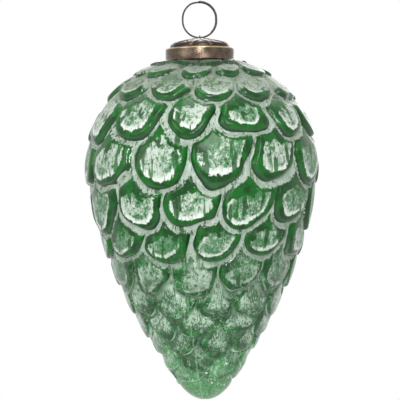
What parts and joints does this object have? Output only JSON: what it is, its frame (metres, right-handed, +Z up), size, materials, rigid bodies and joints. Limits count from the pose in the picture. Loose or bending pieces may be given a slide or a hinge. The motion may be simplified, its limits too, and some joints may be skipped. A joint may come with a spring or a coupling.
{
  "type": "pine cone ornament",
  "caption": "Hanging glass pine cone ornament: a hollow green shell moulded in overlapping scales, with an embossed bronze cap, a wire staple and a wire hanging ring.",
  "frame": {"origin": "inside of the hanging ring's top, where a hook's wire bears", "axes": "+Z up along the ornament's length, the ring lies in the XZ plane, and -Y faces the viewer"},
  "size_m": [0.1054, 0.1054, 0.1793],
  "materials": {
    "green_glass": "glossy green glass with a worn silvery white patina in the fields and grooves of its scales",
    "antique_bronze": "darkened antique bronze, brushed, brighter on its edges",
    "dark_wire": "blackened steel wire"
  },
  "bodies": {
    "ring": {"hanging_ring": "dark_wire"},
    "ornament": {"glass_body": "green_glass", "cap": "antique_bronze", "hanger_staple": "dark_wire"}
  },
  "joints": [
    {"name": "ornament_swing", "type": "hinge", "parent": "ring", "child": "ornament", "pos_m": [0, 0, -0.0158], "axis": [1, 0, 0], "range_deg": [-80, 75]}
  ]
}
